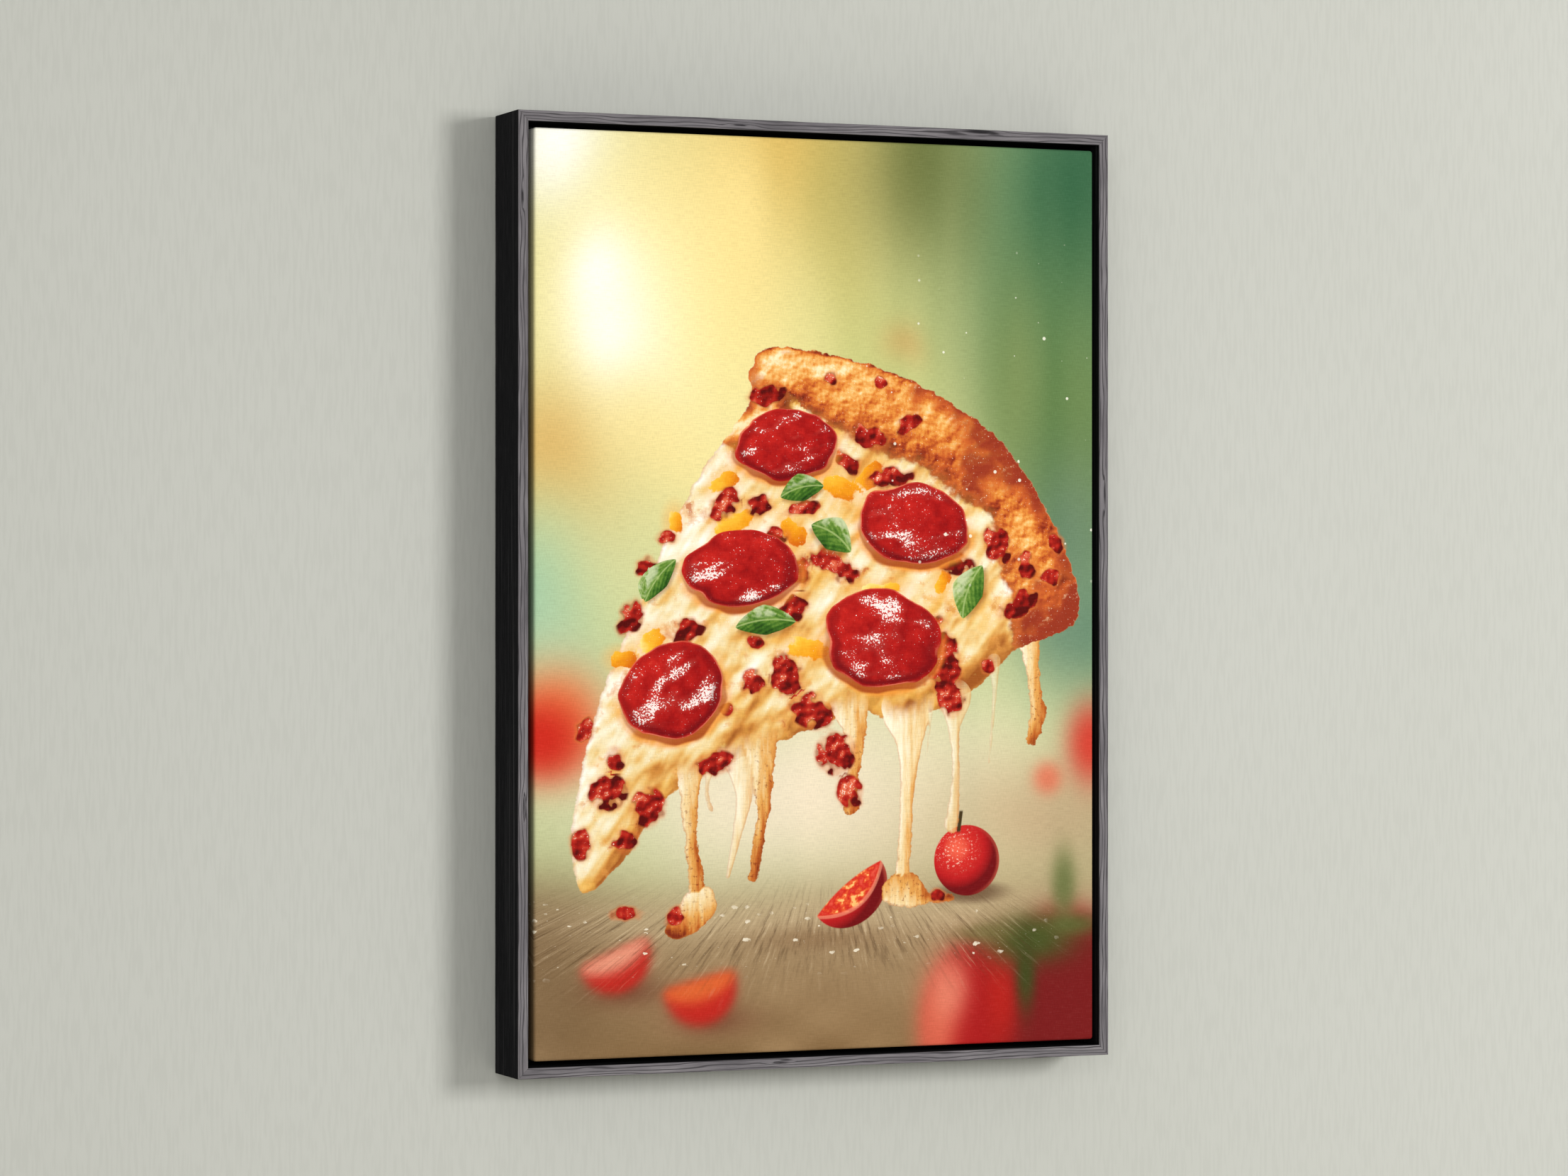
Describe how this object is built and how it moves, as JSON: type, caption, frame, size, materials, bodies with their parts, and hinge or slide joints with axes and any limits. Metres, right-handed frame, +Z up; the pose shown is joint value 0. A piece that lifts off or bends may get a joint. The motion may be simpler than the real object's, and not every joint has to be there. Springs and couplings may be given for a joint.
{
  "type": "framed canvas print",
  "caption": "Portrait canvas print of a pepperoni pizza slice, stretched over wooden bars and floating in a deep dark wood frame that hangs flat on a wall.",
  "frame": {"origin": "on the wall plane, at the notch of the saw-toothed hanger that rests on the wall nail", "axes": "+X to the right as a viewer sees the picture, +Y into the wall, +Z up"},
  "size_m": [0.4288, 0.0488, 0.632],
  "materials": {
    "black_wood": "black stained sides, and a front edge brushed to grey so that the grain shows",
    "pine": "planed and unfinished",
    "canvas": "satin printed cotton, unprinted on the back",
    "screw_steel": "bright zinc plate",
    "hanger_steel": "bright zinc plate",
    "felt": "matt felt"
  },
  "bodies": {
    "root": {"rail_left": "black_wood", "rail_right": "black_wood", "rail_top": "black_wood", "rail_bottom": "black_wood", "bar_left": "pine", "bar_right": "pine", "bar_top": "pine", "bar_bottom": "pine", "canvas": "canvas", "screw_left_1": "screw_steel", "screw_left_2": "screw_steel", "screw_left_3": "screw_steel", "screw_right_1": "screw_steel", "screw_right_2": "screw_steel", "screw_right_3": "screw_steel", "screw_top_1": "screw_steel", "screw_top_2": "screw_steel", "screw_bottom_1": "screw_steel", "screw_bottom_2": "screw_steel", "hanger": "hanger_steel", "hanger_nail_left": "hanger_steel", "hanger_nail_right": "hanger_steel", "pad_top_left": "felt", "pad_top_right": "felt", "pad_bottom_left": "felt", "pad_bottom_right": "felt"}
  },
  "joints": []
}
